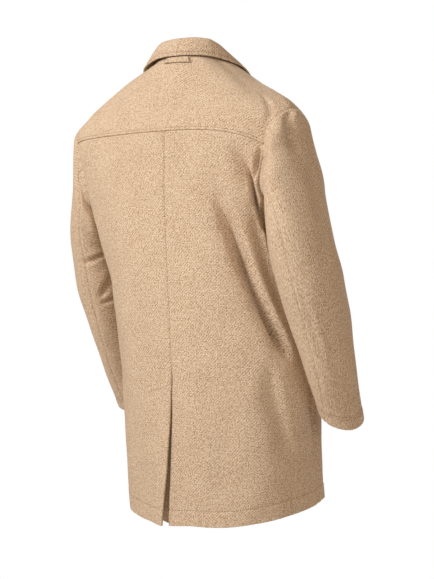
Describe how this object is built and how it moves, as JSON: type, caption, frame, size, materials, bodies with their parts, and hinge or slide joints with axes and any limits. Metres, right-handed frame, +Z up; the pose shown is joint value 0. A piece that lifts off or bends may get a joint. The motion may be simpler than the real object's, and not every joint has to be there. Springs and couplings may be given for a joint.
{
  "type": "wool coat",
  "caption": "Hip-length wool car coat in its worn, hollow form, with a turn-down collar, back yoke, back vent and set-in sleeves, to dress a figure.",
  "frame": {"origin": "in the neck opening, level with the top of the shoulders, where the coat is held", "axes": "+Z up, -Y out of the coat's front, +X to the coat's own left side"},
  "size_m": [0.6491, 0.3704, 0.9084],
  "materials": {
    "wool": "napped beige wool twill, matt",
    "horn": "dark brown, satin"
  },
  "bodies": {
    "root": {"back_left": "wool", "back_right": "wool", "back_yoke": "wool", "front_left": "wool", "front_right": "wool", "sleeve_left_top": "wool", "sleeve_left_under": "wool", "sleeve_right_top": "wool", "sleeve_right_under": "wool", "collar_stand": "wool", "collar_fall": "wool", "collar_tab": "wool", "button_1": "horn", "button_2": "horn", "button_3": "horn", "button_4": "horn"}
  },
  "joints": []
}
